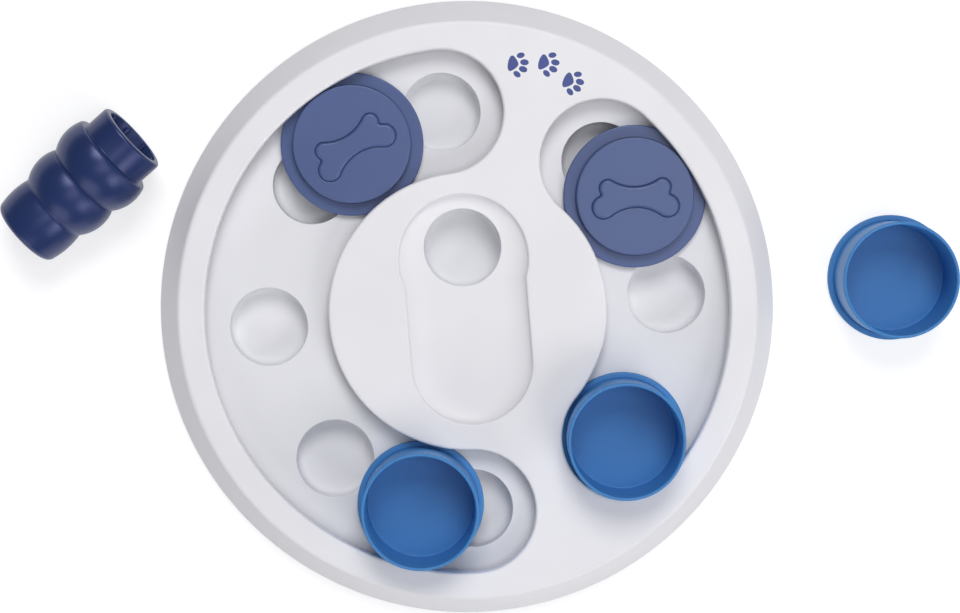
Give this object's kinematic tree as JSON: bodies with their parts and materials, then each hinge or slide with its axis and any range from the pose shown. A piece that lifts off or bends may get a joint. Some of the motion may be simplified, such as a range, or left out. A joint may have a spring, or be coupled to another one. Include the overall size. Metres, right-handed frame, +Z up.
{
  "type": "dog puzzle feeder",
  "caption": "Round treat puzzle board with curved channels, bone-topped sliders and cups over treat wells, a keyhole trough and a hollow roller.",
  "frame": {"origin": "centre of the board on the table, at the underside of the rubber ring", "axes": "+Z up, +X towards the middle of the short channel and the loose cup, +Y towards the end of the trough that holds the centre well"},
  "size_m": [0.4573, 0.3, 0.0498],
  "materials": {
    "cover_plastic": "satin white moulded polypropylene",
    "tray_plastic": "satin white moulded polypropylene",
    "ring_rubber": "matt grey thermoplastic rubber",
    "slider_plastic": "satin slate blue moulded polypropylene",
    "cup_plastic": "satin bright blue moulded polypropylene",
    "roller_plastic": "satin navy moulded polypropylene",
    "screw_steel": "zinc plated steel"
  },
  "bodies": {
    "board": {"base_tray": "tray_plastic", "top_cover": "cover_plastic", "anti_slip_ring": "ring_rubber", "rim_screw_1": "screw_steel", "rim_screw_2": "screw_steel", "rim_screw_3": "screw_steel", "rim_screw_4": "screw_steel", "rim_screw_5": "screw_steel", "rim_screw_6": "screw_steel", "rim_screw_7": "screw_steel", "rim_screw_8": "screw_steel", "island_screw_1": "screw_steel", "island_screw_2": "screw_steel", "island_screw_3": "screw_steel", "island_screw_4": "screw_steel"},
    "long_slider": {"long_track_slider": "slider_plastic"},
    "short_slider": {"short_track_slider": "slider_plastic"},
    "long_cup": {"long_track_cup": "cup_plastic"},
    "short_cup": {"short_track_cup": "cup_plastic"},
    "free_cup": {"loose_cup": "cup_plastic"},
    "roller": {"treat_roller": "roller_plastic"}
  },
  "joints": [
    {"name": "long_slider_run", "type": "hinge", "parent": "board", "child": "long_slider", "pos_m": [0, 0, 0.0183], "axis": [0, 0, 1], "range_deg": [-27.2, 59.9]},
    {"name": "short_slider_run", "type": "hinge", "parent": "board", "child": "short_slider", "pos_m": [0, 0, 0.0183], "axis": [0, 0, 1], "range_deg": [-16.5, 13.8]},
    {"name": "long_cup_run", "type": "hinge", "parent": "board", "child": "long_cup", "pos_m": [0, 0, 0.0183], "axis": [0, 0, 1], "range_deg": [-31.3, 15.5]},
    {"name": "short_cup_run", "type": "hinge", "parent": "board", "child": "short_cup", "pos_m": [0, 0, 0.0183], "axis": [0, 0, 1], "range_deg": [0, 16.5]},
    {"name": "free_cup_lift", "type": "slide", "parent": "board", "child": "free_cup", "axis": [0, 0, 1], "range_m": [0, 0.06]},
    {"name": "roller_lift", "type": "slide", "parent": "board", "child": "roller", "axis": [0, 0, 1], "range_m": [0, 0.06]}
  ]
}
